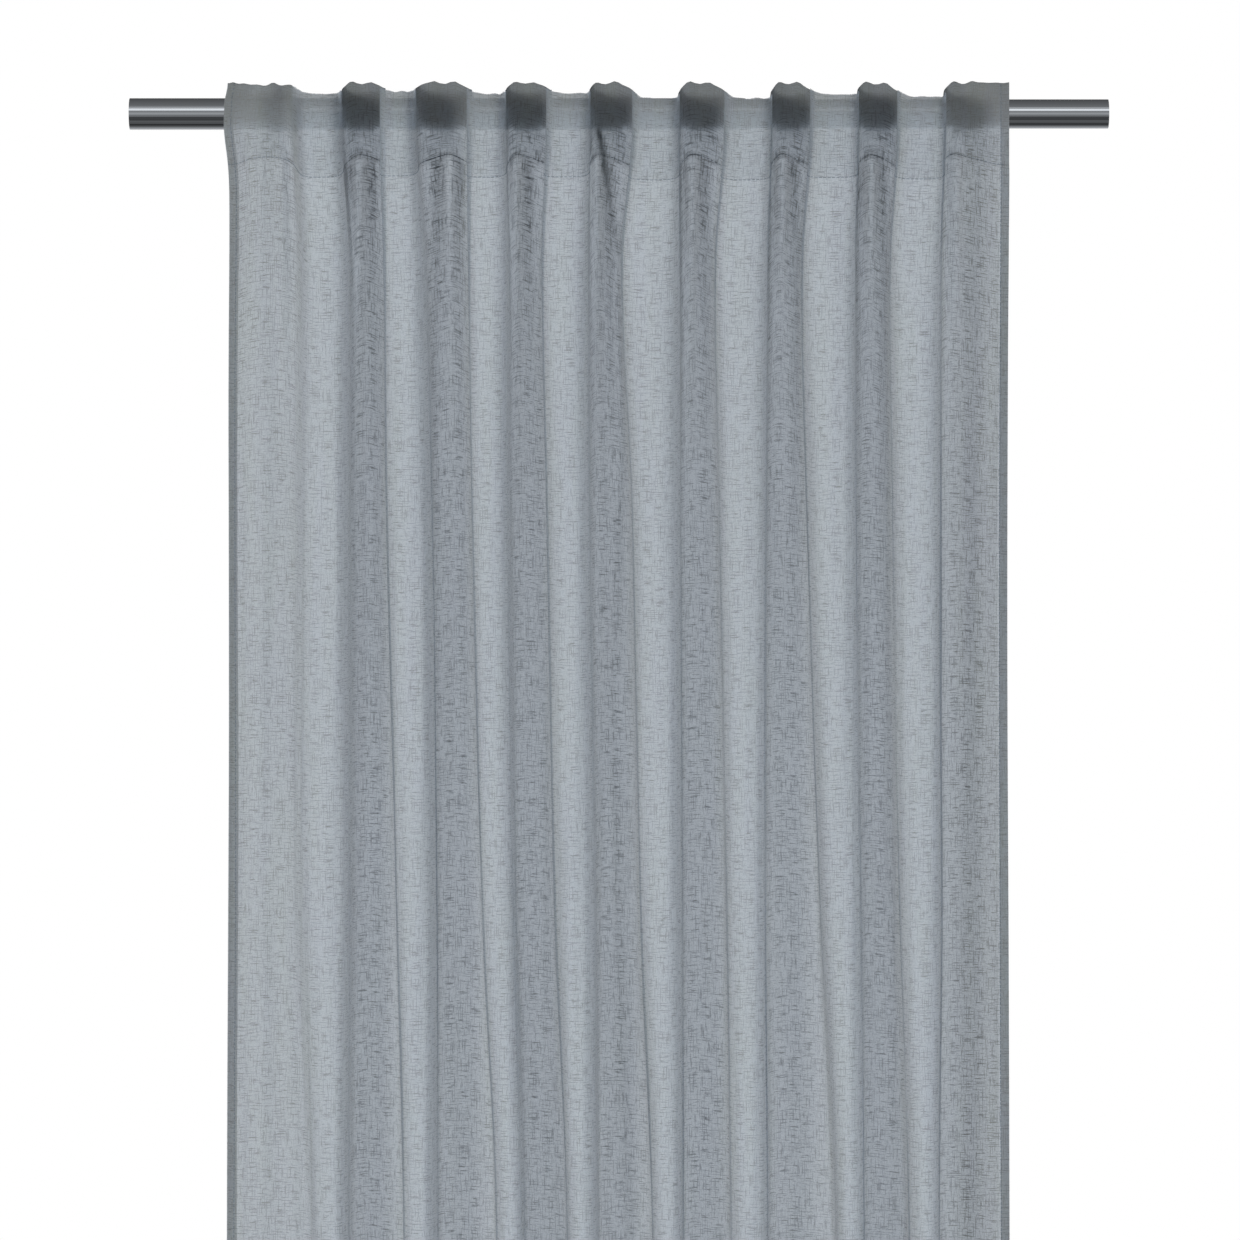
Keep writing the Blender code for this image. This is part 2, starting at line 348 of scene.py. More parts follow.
# Small unevenness. The ripples have a seed, and their height and waves per metre across and down; the
# ranges are distances down the cloth, or shares of the way forward.
creases = {
    "long": (11, 0.0011, 28, 0.9),
    "short": (12, 0.0007, 75, 2.2),
    "freeFrom": (0.05, 0.5),     # the cloth hangs free of the loops between these drops
    "atLoops": 0.25,
    "offLoops": (0.0, 0.3),
    "gathers": (21, 0.0012, 170, 1.5),   # fine gathers under the seam between the fronts
    "gathersStart": (0.066, 0.085),
    "gathersFade": (0.09, 0.11),
    "topEdge": (31, 0.0007, 60, 0.1),
    "topEdgeFade": 0.02,
}

# Over each loop: puckers that fan out above the seam's arch, and a ruffled top edge.
ruffle = {
    "puckerHeight": 0.0011,
    "puckerRays": 9,
    "fanRadius": 0.012,
    "fanWidth": 0.008,
    "fanBottom": -0.004,
    "fanBacks": (0.10, 0.30),
    "humpAt": 0.0085,            # two humps in the top edge
    "humpWidth": 0.0042,
    "humpRise": 0.0016,
    "humpOut": 0.0014,
    "dipWidth": 0.006,           # and a dip between them
    "dipFall": 0.0010,
    "towardsPleat": 0.3,
    "fadeDown": 0.010,
    "fadeForward": (0.20, 0.45),
}

# The fifth pleat leans to the right and folds over on itself; a long crease runs on below it. Each has
# its path as distances down the cloth and steps aside, and how dark the painted shade in it is.
creasedLoop = 4
foldedPleat = {
    "heights": [0.042, 0.066, 0.09, 0.117, 0.148, 0.193, 0.26],
    "aside": [0.0, 0.005, 0.0085, 0.0125, 0.0165, 0.0195, 0.022],
    "width": 0.0030, "depth": 0.0045, "share": 0.9,
    "starts": (0.038, 0.050), "stops": (0.07, 0.19), "fadeBy": 1.0,
}
longCrease = {
    "heights": [0.15, 0.32, 0.55, 0.73, 1.0, 2.4],
    "aside": [-0.002, 0.003, -0.006, -0.001, 0.008, 0.015],
    "width": 0.0028, "depth": 0.0022, "share": 0.13,
    "starts": (0.14, 0.24), "stops": (1.0, 2.3), "fadeBy": 0.5,
}

# How far the cloth is darkened and closed to the light, 0 flat to 1 closed, and where: real extra layers of
# cloth in a few places, painted shade in most.
bunchingAndShade = {
    # painted shade over the loops, in the backs of the heading
    "overLoops": 0.15,
    "overLoopsFrom": (0.016, 0.030),
    "overLoopsTo": (0.066, 0.080),
    "overLoopsBacks": (0.1, 0.4),
    "seamLine": 0.36,            # the seam draws the cloth together, and a line of painted shade runs along it, most of all over the loops
    "seamWidth": 0.0016,
    "seamBacks": (0.2, 0.5),
    "rightEnd": 0.24,            # painted shade towards the right end
    "rightEndFrom": (-0.016, 0.006),   # beside the last loop
    "leftEnd": 0.20,             # and painted shade where the left end draws in under the rod
    "leftEndAcross": (0.04, 0.10),
    "leftEndFrom": (0.012, 0.030),
    "leftEndFade": (0.65, 0.07, 0.30),
    "turnOver": 0.92,            # behind the heading, where the cloth is pressed to the rod: painted shade on the turned cloth
    "turnOverReach": 0.0205,
    "turnOverBacks": (0.15, 0.5),
}


def creaseAlong(points, hh, middle, crease, backs, gatheredAndShade):
    # one sharp crease pressed into the backs, with painted shade along it
    path = middle + np.interp(hh, crease["heights"], crease["aside"])
    length = smoothStep(*crease["starts"], hh) * (1 - crease["fadeBy"] * smoothStep(*crease["stops"], hh))
    strength = bell(points[..., 0] - path, crease["width"]) * backs * length
    points[..., 1] += crease["depth"] * strength
    return np.maximum(gatheredAndShade, crease["share"] * strength)


def rippleOf(settings, s, hh):
    seed, height, across, down = settings
    return height * ripple(seed, across, down, s, hh)


def hangRows(rows, topZ):
    # the cloth with its folds and heading, before any crease
    places, flat = columnPlaces(drape["evenFrom"])
    topFall, seamFall = headingFalls(*splinePoints(foldCage(0.0), places).T)
    turn = heading["turnOver"]
    evenBy, evenStart, evenStop = drape["evens"]
    points, forwards = [], []
    for h in rows:
        drop = max(0.0, h - topZ)
        if drop > drape["evenFrom"]:
            places, _ = columnPlaces(drop)
        x, forward = splinePoints(foldCage(drop), places).T
        lean = drape["leanBack"] * smoothStep(*drape["leanDrops"], drop)
        y = drape["backAt"] - drape["depth"] * forward + lean
        topHere = topZ - topFall
        seamHere = topZ - heading["seamFromTop"] - seamFall
        # lower down the weave evens out between the fronts and the backs
        evening = evenBy * smoothStep(evenStart, evenStop, drop) * (seamFall - 0.5 * heading["seamForward"])
        z = topHere + (seamHere - topHere) * min(h / turn, 1.0) - max(h - turn, 0.0) + evening
        points.append(np.stack([x, y, z], axis=1))
        forwards.append(forward)
    return np.array(points), np.array(forwards), flat


def addRuffles(points, k, centre, hh, seamZ, forwards):
    side, up = points[..., 0] - centre, points[..., 2] - seamZ
    rays = np.cos(ruffle["puckerRays"] * np.arctan2(side, up) + k)
    fan = rays * bell(np.hypot(side, up) - ruffle["fanRadius"], ruffle["fanWidth"])
    fan = fan * (up > ruffle["fanBottom"])
    points[..., 1] += ruffle["puckerHeight"] * fan * (1 - smoothStep(*ruffle["fanBacks"], forwards))
    sideways = points[..., 0] - loopX[k] - ruffle["towardsPleat"] * pleat["besideLoopMm"][k] / 1000
    hump = bell(np.abs(sideways) - ruffle["humpAt"], ruffle["humpWidth"])
    dip = bell(sideways, ruffle["dipWidth"])
    atTop = np.exp(-hh / ruffle["fadeDown"]) * (1 - smoothStep(*ruffle["fadeForward"], forwards))
    points[..., 2] += (ruffle["humpRise"] * hump - ruffle["dipFall"] * dip) * atTop
    points[..., 1] += (ruffle["dipFall"] * dip - ruffle["humpOut"] * hump) * atTop


def paintedShadeAtEnds(points, s, hh):
    # painted shade beside the last loop at the right end, and at the left end under the rod
    start, stop = bunchingAndShade["rightEndFrom"]
    right = smoothStep(loopX[-1] + start, loopX[-1] + stop, points[..., 0])
    right = right * (s < flatWidth - drape["rightHem"])
    fadeBy, fadeStart, fadeStop = bunchingAndShade["leftEndFade"]
    left = (1 - smoothStep(*bunchingAndShade["leftEndAcross"], s)) * smoothStep(*bunchingAndShade["leftEndFrom"], hh)
    left = left * (1 - fadeBy * smoothStep(fadeStart, fadeStop, hh))
    return np.maximum(bunchingAndShade["rightEnd"] * right, bunchingAndShade["leftEnd"] * left)


def hangCloth():
    # grid of points (row, column, xyz), with each column's flat place and each row's height
    rows = rowHeights()
    topZ = panelHigh[2] - drape["topInset"]
    seamZ = topZ - heading["seamFromTop"]
    points, forwards, flat = hangRows(rows, topZ)
    s = np.tile(flat, (len(rows), 1))
    hh = np.tile(rows[:, None], (1, len(flat)))
    backs = forwards < 0.5

    # soft creases that run down the cloth, none where it lies on the loops
    free = smoothStep(*creases["freeFrom"], np.maximum(0, hh - topZ))
    away = creases["atLoops"] + (1 - creases["atLoops"]) * free
    away = away * smoothStep(*creases["offLoops"], forwards + 2 * free)
    crease = rippleOf(creases["long"], s, hh) + rippleOf(creases["short"], s, hh)
    points = points + gridNormals(points) * (crease * away)[..., None]

    # the left end of the heading draws in at the very top
    inward, along, down = heading["drawIn"]
    points[..., 0] += inward * bell(s, along) * (1 - smoothStep(0.0, down, hh))

    fadeFrom, fadeOver = creases["gathersFade"]
    under = smoothStep(*creases["gathersStart"], hh) * np.exp(-np.maximum(hh - fadeFrom, 0) / fadeOver)
    points[..., 1] += rippleOf(creases["gathers"], s, hh) * under * backs

    # painted shade over the loops in the heading; under each loop a pleat with painted shade beside it, over
    # each loop a ruffle
    overLoop = smoothStep(*bunchingAndShade["overLoopsFrom"], hh) * (1 - smoothStep(*bunchingAndShade["overLoopsTo"], hh))
    overLoop = overLoop * (1 - smoothStep(*bunchingAndShade["overLoopsBacks"], forwards))
    gatheredAndShade = bunchingAndShade["overLoops"] * overLoop
    fadeFrom, fadeOver = pleat["fades"]
    fade = smoothStep(*pleat["starts"], hh) * np.exp(-np.maximum(hh - fadeFrom, 0) / fadeOver) * backs
    for k, share in enumerate(pleat["shares"]):
        centre = pleatX(k)
        points[..., 1] -= pleat["height"] * share * fade * bell(points[..., 0] - centre, pleat["width"])
        if k == creasedLoop:
            gatheredAndShade = creaseAlong(points, hh, centre, foldedPleat, backs, gatheredAndShade)
            gatheredAndShade = creaseAlong(points, hh, 0.0, longCrease, backs, gatheredAndShade)
        beside = bell(np.abs(points[..., 0] - centre) - pleat["besideAt"], pleat["besideWidth"])
        gatheredAndShade = np.maximum(gatheredAndShade, pleat["paintedShadeBeside"] * share * fade * beside)
        addRuffles(points, k, centre, hh, seamZ, forwards)

    # a line of painted shade along the seam
    seamLine = bell(hh - heading["turnOver"], bunchingAndShade["seamWidth"])
    seamLine = seamLine * (1 - smoothStep(*bunchingAndShade["seamBacks"], forwards))
    gatheredAndShade = np.maximum(gatheredAndShade, bunchingAndShade["seamLine"] * seamLine)
    # painted shade at both ends
    gatheredAndShade = np.maximum(gatheredAndShade, paintedShadeAtEnds(points, s, hh))
    points[..., 2] += rippleOf(creases["topEdge"], s, hh) * np.exp(-hh / creases["topEdgeFade"])
    return points, s, hh, forwards, gatheredAndShade


def gridNormals(points):
    # unit normals that point to the back of the cloth
    along = np.gradient(points, axis=1)
    down = np.gradient(points, axis=0)
    normal = np.cross(down, along)
    normal /= np.maximum(np.linalg.norm(normal, axis=2, keepdims=True), 1e-9)
    return normal * np.sign(np.median(normal[..., 1]) or 1)


def gridPiece(name, points, s, h, material):
    # a sheet from a grid of points, with a UV map in metres of cloth
    rows, columns = points.shape[:2]
    index = np.arange(rows * columns).reshape(rows, columns)
    faces = np.stack([index[:-1, :-1], index[1:, :-1], index[1:, 1:], index[:-1, 1:]], axis=-1).reshape(-1, 4)
    piece = newPiece(name, points.reshape(-1, 3).tolist(), faces.tolist(), material)
    uv = piece.data.uv_layers.new(name="clothMetres")
    corners = np.stack([s.reshape(-1)[faces], -h.reshape(-1)[faces]], axis=-1).reshape(-1)
    uv.data.foreach_set("uv", corners.astype(np.float32))
    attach(piece, "curtain")
    return piece


# Polyester in a linen look, plain weave, piece-dyed blue-grey. Thick and thin yarns show as short dark
# dashes both ways, and light from behind comes through. thread and slub: thin and thick yarn as lit
# from the front; glow and shade: the light that they let through; open: the share between the yarns;
# slubs: how far the thick yarns stand out.
weave = {
    "face": {"thread": "#979a99", "slub": "#a3a6a5", "glow": "#bfcddc", "shade": "#2f373f",
             "open": 0.13, "glowShare": 0.56, "slubs": 1.0},
    # the turned cloth has lighter colours and far more openness than the same cloth's face: painted light
    # through the heading; its shade colour shows where painted shade falls on it
    "turned": {"thread": "#9aa1a5", "slub": "#838b90", "glow": "#e6ecf0", "shade": "#53585b",
               "open": 0.85, "glowShare": 0.85, "slubs": 0.5},
    # the hem's colours are painted darker than the same cloth's face: painted shade over the doubled hem
    "hem": {"thread": "#7b8081", "slub": "#6a6f70", "glow": "#a4afb9", "shade": "#4a5257",
            "open": 0.15, "glowShare": 0.5, "slubs": 0.8},
    "tape": {"thread": "#a9afb2", "slub": "#838b90", "glow": "#eef3f6", "shade": "#9aa1a5",
             "open": 0.96, "glowShare": 0.85, "slubs": 0.3},
    "slubWidthMm": 0.90,         # real slubs are 0.6 mm wide; drawn wider so that they show
    "slubLengthMm": 12.0,
    "slubLevels": (0.570, 0.645),   # noise where a slub begins and where it is full
    "warpLonger": 1.3,
    "warpShare": 0.75,
    "slubShare": 0.6,
    "grainMm": (1.1, 1.4),       # the plain weave itself, a little coarser than it is
    "grainLevels": (0.38, 0.72),
    "grainShare": 0.30,
    "dyeMm": (16, 160),          # dye lots of yarn: faint green and violet streaks down the cloth
    "dyeLevels": (0.3, 0.7),
    "dyeCasts": ("#fdfffb", "#fbfbff"),
    "roughness": 0.9,
    "sheen": 0.15,
    "sheenRoughness": 0.5,
    "bumpStrength": 0.25,
    "bumpDepth": 0.0004,
}


def slubPattern(tree, metres, acrossMm, alongMm, turned, levels):
    # dashes as long as alongMm and as thick as acrossMm, along the weft or, turned, along the warp
    fine, coarse = 1000 / acrossMm, 1000 / alongMm
    scale = (fine, coarse, 1) if turned else (coarse, fine, 1)
    mapped = addNode(tree, "ShaderNodeMapping", {"Scale": scale}, {"Vector": metres})
    noise = addNode(tree, "ShaderNodeTexNoise", {"noise_dimensions": "2D", "Scale": 1.0, "Detail": 2.0,
                                                 "Roughness": 0.6, "Distortion": 0.15},
                    {"Vector": mapped.outputs[0]})
    return addNode(tree, "ShaderNodeMapRange", {"From Min": levels[0], "From Max": levels[1]},
                   {"Value": noise.outputs[0]}).outputs[0]


def clothMaterial(name, layer):
    finish = weave[layer]
    material, tree = newMaterial(name)
    uv = addNode(tree, "ShaderNodeUVMap", {"uv_map": "clothMetres"}).outputs[0]
    width, length, levels = weave["slubWidthMm"], weave["slubLengthMm"], weave["slubLevels"]
    weft = slubPattern(tree, uv, width, length, False, levels)
    warp = slubPattern(tree, uv, width, length * weave["warpLonger"], True, levels)
    grain = slubPattern(tree, uv, *weave["grainMm"], False, weave["grainLevels"])
    warpSofter = addNode(tree, "ShaderNodeMath", {"operation": "MULTIPLY", 1: weave["warpShare"]}, {0: warp})
    slubs = addNode(tree, "ShaderNodeMath", {"operation": "MAXIMUM"},
                    {0: weft, 1: warpSofter.outputs[0]}).outputs[0]
    slubPart = addNode(tree, "ShaderNodeMath", {"operation": "MULTIPLY", 1: weave["slubShare"]}, {0: slubs})
    grainPart = addNode(tree, "ShaderNodeMath", {"operation": "MULTIPLY", 1: weave["grainShare"]}, {0: grain})
    both = addNode(tree, "ShaderNodeMath", {"operation": "ADD"},
                   {0: slubPart.outputs[0], 1: grainPart.outputs[0]})
    scaled = addNode(tree, "ShaderNodeMath", {"operation": "MULTIPLY", 1: finish["slubs"]},
                     {0: both.outputs[0]})
    dense = addNode(tree, "ShaderNodeClamp", {}, {"Value": scaled.outputs[0]}).outputs[0]
    if layer in ("turned", "face"):
        # where the cloth is bunched, and where shade is painted, less light comes through and the cloth is
        # darker
        bunchedAndShade = addNode(tree, "ShaderNodeAttribute", {"attribute_name": "bunchedAndShade"}).outputs["Fac"]
        denseAndShade = addNode(tree, "ShaderNodeMath", {"operation": "ADD"}, {0: dense, 1: bunchedAndShade})
        dense = addNode(tree, "ShaderNodeClamp", {}, {"Value": denseAndShade.outputs[0]}).outputs[0]
    tint = slubPattern(tree, uv, *weave["dyeMm"], True, weave["dyeLevels"])
    casts = addNode(tree, "ShaderNodeValToRGB", {}, {"Fac": tint})
    for stop, code in zip(casts.color_ramp.elements, weave["dyeCasts"]):
        stop.color = hexColour(code)
    yarn = addNode(tree, "ShaderNodeMix", {"data_type": "RGBA", 6: hexColour(finish["thread"]),
                                           7: hexColour(finish["slub"])}, {"Factor": dense})
    dyed = addNode(tree, "ShaderNodeMix", {"data_type": "RGBA", "blend_type": "MULTIPLY", "Factor": 1.0},
                   {6: yarn.outputs[2], 7: casts.outputs[0]})
    light = addNode(tree, "ShaderNodeMix", {"data_type": "RGBA", 6: hexColour(finish["glow"]),
                                            7: hexColour(finish["shade"])}, {"Factor": dense})
    bump = addNode(tree, "ShaderNodeBump", {"Strength": weave["bumpStrength"],
                                            "Distance": weave["bumpDepth"]}, {"Height": slubs})
    front = addNode(tree, "ShaderNodeBsdfPrincipled",
                    {"Roughness": weave["roughness"], "Sheen Weight": weave["sheen"],
                     "Sheen Roughness": weave["sheenRoughness"]},
                    {"Base Color": dyed.outputs[2], "Normal": bump.outputs[0]})
    through = addNode(tree, "ShaderNodeBsdfTranslucent", {}, {"Color": light.outputs[2]})
    body = addNode(tree, "ShaderNodeMixShader", {"Fac": finish["glowShare"]},
                   {1: front.outputs[0], 2: through.outputs[0]})
    gaps = addNode(tree, "ShaderNodeBsdfTransparent")
    thin = addNode(tree, "ShaderNodeMath", {"operation": "SUBTRACT", 0: 1.0}, {1: dense})
    openness = addNode(tree, "ShaderNodeMath", {"operation": "MULTIPLY", 1: finish["open"]},
                       {0: thin.outputs[0]})
    whole = addNode(tree, "ShaderNodeMixShader", {},
                    {"Fac": openness.outputs[0], 1: body.outputs[0], 2: gaps.outputs[0]})
    addNode(tree, "ShaderNodeOutputMaterial", {}, {"Surface": whole.outputs[0]})
    return material


# Spun polyester sewing thread, a shade darker than the cloth, in rows of lockstitches.
stitching = {
    "lengthMm": 3.0,
    "gapMm": 0.9,
    "thickMm": 0.55,
    "standMm": 0.18,
    "sides": 6,
    "rings": [(0.0, 0.35), (0.18, 1.0), (0.82, 1.0), (1.0, 0.35)],   # share of the length, of the thickness
    "arc": (0.15, 0.7),          # how the thread arches out of the cloth
    "twistPerMetre": 1400.0,     # a turn about every 0.7 mm
    "dark": "#58646e",
    "light": "#6d7984",
}


def threadMaterial():
    # the twist breaks its colour up, and it stays matt
    material, tree = newMaterial("sewingThread")
    place = addNode(tree, "ShaderNodeTexCoord").outputs["Object"]
    twist = addNode(tree, "ShaderNodeTexNoise", {"Scale": stitching["twistPerMetre"]}, {"Vector": place})
    shade = addNode(tree, "ShaderNodeMix", {"data_type": "RGBA", 6: hexColour(stitching["dark"]),
                                            7: hexColour(stitching["light"])}, {"Factor": twist.outputs[0]})
    shader = addNode(tree, "ShaderNodeBsdfPrincipled", {"Roughness": 0.8}, {"Base Color": shade.outputs[2]})
    addNode(tree, "ShaderNodeOutputMaterial", {}, {"Surface": shader.outputs[0]})
    return material


def stitchRun(name, path, normals, material):
    # a row of lockstitches: short round-ended bars that lie on the cloth along the path
    step = np.linalg.norm(np.diff(path, axis=0), axis=1)
    run = np.concatenate([[0], np.cumsum(step)])
    pitch = (stitching["lengthMm"] + stitching["gapMm"]) / 1000
    half = stitching["thickMm"] / 2000
    sides, rings = stitching["sides"], stitching["rings"]
    arcFrom, arcOver = stitching["arc"]
    vertices, faces = [], []

    def at(distance, values):
        return np.array([np.interp(distance, run, values[:, k]) for k in range(3)])

    for k in range(int(run[-1] / pitch)):
        start, end = at(k * pitch, path), at(k * pitch + stitching["lengthMm"] / 1000, path)
        out = at(k * pitch, normals)
        out /= np.linalg.norm(out)
        along = (end - start) / max(np.linalg.norm(end - start), 1e-9)
        side = np.cross(along, out)
        stand = out * stitching["standMm"] / 1000
        first = len(vertices)
        for share, size in rings:
            arched = stand * math.sin(math.pi * (arcFrom + arcOver * share))
            centre = start + (end - start) * share + arched
            for turn in range(sides):
                angle = turn * 2 * math.pi / sides
                vertices.append(centre + half * size * (side * math.cos(angle) + out * math.sin(angle)))
        for ring in range(len(rings) - 1):
            for turn in range(sides):
                a, b = first + ring * sides + turn, first + ring * sides + (turn + 1) % sides
                faces.append((a, b, b + sides, a + sides))
        faces.append(tuple(first + turn for turn in reversed(range(sides))))
        faces.append(tuple(first + (len(rings) - 1) * sides + turn for turn in range(sides)))
    piece = newPiece(name, [tuple(v) for v in vertices], faces, material)
    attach(piece, "curtain")
    return piece


def storeBunchedAndShade(piece, share):
    # how far the cloth is darkened at each point, by bunching and by painted shade, 0 flat to 1 closed to the
    # light
    bunchedAndShadeData = piece.data.attributes.new("bunchedAndShade", "FLOAT", "POINT")
    bunchedAndShadeData.data.foreach_set("value", share.reshape(-1).astype(np.float32))


# Where the layers lie behind the cloth, and the seams in them, in metres.
layers = {
    "turnOverBehind": 0.0010,
    "rollBack": 0.0005,          # the turned cloth rolls over the top edge
    "rollUp": 0.0004,
    "tapeBehind": 0.0019,
    "tapeTop": 0.004,
    "tapeBottom": 0.003,
    "hemBehind": 0.0007,
    "hemOverlap": 0.002,
    "seamInside": 0.0015,        # the heading's seam above the turned edge
    "hemSeam": 0.088,            # the bottom hem's seam above the cloth's lower edge
}


def buildCurtain():
    print("hanging the cloth")
    cloth = clothMaterial("slubbedLinenLook", "face")
    turnedCloth = clothMaterial("slubbedLinenLookTurnedLitAndShaded", "turned")
    hemCloth = clothMaterial("slubbedLinenLookHemShaded", "hem")
    points, s, h, forwards, gatheredAndShade = hangCloth()
    normals = gridNormals(points)
    rows, columns = h[:, 0], s[0]

    panel = gridPiece("curtainPanel", points, s, h, cloth)
    storeBunchedAndShade(panel, gatheredAndShade)
    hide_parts("curtain_panel")

    # the heading is turned over to the back; its first rows roll over the top edge
    top = rows <= heading["turnOver"] + 1e-6
    layer = points[top] + normals[top] * layers["turnOverBehind"]
    layer[0] = points[0] + normals[0] * layers["rollBack"] + np.array([0, 0, layers["rollUp"]])
    turnOver = gridPiece("headingTurnOver", np.concatenate([points[:1], layer]),
                         np.concatenate([s[:1], s[top]]), np.concatenate([h[:1], -h[top]]), turnedCloth)
    # painted shade on the turned cloth at the top of the heading
    bunchedAndShade = bunchingAndShade["turnOver"] * np.exp(-(np.abs(h[top]) / bunchingAndShade["turnOverReach"]) ** 4)
    bunchedAndShade = bunchedAndShade * (1 - smoothStep(*bunchingAndShade["turnOverBacks"], forwards[top]))
    storeBunchedAndShade(turnOver, np.concatenate([bunchedAndShade[:1], bunchedAndShade]))
    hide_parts("heading_turnover")

    band = (rows >= layers["tapeTop"]) & (rows <= heading["turnOver"] - layers["tapeBottom"])
    tape = gridPiece("headingTape", points[band] + normals[band] * layers["tapeBehind"], s[band], h[band],
                     clothMaterial("gatheringTape", "tape"))
    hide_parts("heading_tape")

    print("turning the hems")
    hems = []
    overlap = layers["hemOverlap"]
    strips = [
        ("sideHemLeft", "side_hem_left", columns <= drape["sideHem"] + overlap, rows >= 0),
        ("sideHemRight", "side_hem_right", columns >= flatWidth - drape["rightHem"] - overlap, rows >= 0),
        ("bottomHem", "bottom_hem", columns >= 0, rows >= flatHeight - drape["bottomHem"]),
    ]
    for name, node, pickColumns, pickRows in strips:
        behind = points[pickRows][:, pickColumns] + normals[pickRows][:, pickColumns] * layers["hemBehind"]
        hem = gridPiece(name, behind, s[pickRows][:, pickColumns], h[pickRows][:, pickColumns], hemCloth)
        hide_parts(node)
        hems.append(hem)

    print("sewing the seams")
    thread = threadMaterial()
    seamRow = int(np.argmin(np.abs(rows - (heading["turnOver"] - layers["seamInside"]))))
    hemRow = int(np.argmin(np.abs(rows - (flatHeight - layers["hemSeam"]))))
    leftColumn = int(np.argmin(np.abs(columns - drape["sideHem"])))
    rightColumn = int(np.argmin(np.abs(columns - (flatWidth - drape["rightHem"]))))
    seams = [
        stitchRun("headingSeam", points[seamRow], -normals[seamRow], thread),
        stitchRun("bottomHemSeam", points[hemRow], -normals[hemRow], thread),
        stitchRun("leftHemSeam", points[:, leftColumn], -normals[:, leftColumn], thread),
        stitchRun("rightHemSeam", points[:, rightColumn], -normals[:, rightColumn], thread),
    ]
    for piece in [panel, turnOver, tape] + hems + seams:
        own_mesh(piece)


rodFinish = {
    "steel": "#cdd2d4",
    "roughness": (0.04, 0.10),
    "linesPerMetre": (6.0, 900.0, 900.0),   # real polishing lines are finer; drawn 1.1 mm apart to show
}
plugFinish = {
    "nylon": "#4d4f51",
    "roughness": 0.45,
    "ior": 1.53,
    "grainMm": 0.4,
}
loopFinish = {
    "grooveShade": "#8a9093",
    "rib": "#aab0b3",
    "ribMm": 1.2,
    "glowShare": 0.6,
    "sheerSewn": 0.88,           # sheer where its ends are sewn in flat behind the heading
    "sheerRound": 0.30,          # closer woven round the rod
    "sewnTo": -0.012,
    "roundFrom": -0.004,
}


def steelMaterial():
    # cold-drawn stainless tube, polished along its length: long clear streaks of reflected studio
    material, tree = newMaterial("polishedSteelTube")
    place = addNode(tree, "ShaderNodeTexCoord").outputs["Object"]
    stretched = addNode(tree, "ShaderNodeMapping", {"Scale": rodFinish["linesPerMetre"]},
                        {"Vector": place})
    lines = addNode(tree, "ShaderNodeTexNoise", {"Scale": 1.0, "Detail": 3.0},
                    {"Vector": stretched.outputs[0]}).outputs[0]
    smooth, dull = rodFinish["roughness"]
    rough = addNode(tree, "ShaderNodeMapRange", {"From Min": 0.3, "From Max": 0.7, "To Min": smooth,
                                                 "To Max": dull}, {"Value": lines})
    bump = addNode(tree, "ShaderNodeBump", {"Strength": 0.06, "Distance": 0.0001}, {"Height": lines})
    shader = addNode(tree, "ShaderNodeBsdfPrincipled",
                     {"Metallic": 1.0, "Base Color": hexColour(rodFinish["steel"])},
                     {"Roughness": rough.outputs[0], "Normal": bump.outputs[0]})
    addNode(tree, "ShaderNodeOutputMaterial", {}, {"Surface": shader.outputs[0]})
    return material


def nylonMaterial():
    # moulded grey nylon plug, matt with a fine mould grain
    material, tree = newMaterial("mouldedNylon")
    place = addNode(tree, "ShaderNodeTexCoord").outputs["Object"]
    grain = addNode(tree, "ShaderNodeTexNoise", {"Scale": 1000 / plugFinish["grainMm"], "Detail": 2.0},
                    {"Vector": place})
    bump = addNode(tree, "ShaderNodeBump", {"Strength": 0.2, "Distance": 0.00008},
                   {"Height": grain.outputs[0]})
    shader = addNode(tree, "ShaderNodeBsdfPrincipled",
                     {"Base Color": hexColour(plugFinish["nylon"]), "Roughness": plugFinish["roughness"],
                      "IOR": plugFinish["ior"]}, {"Normal": bump.outputs[0]})
    addNode(tree, "ShaderNodeOutputMaterial", {}, {"Surface": shader.outputs[0]})
    return material


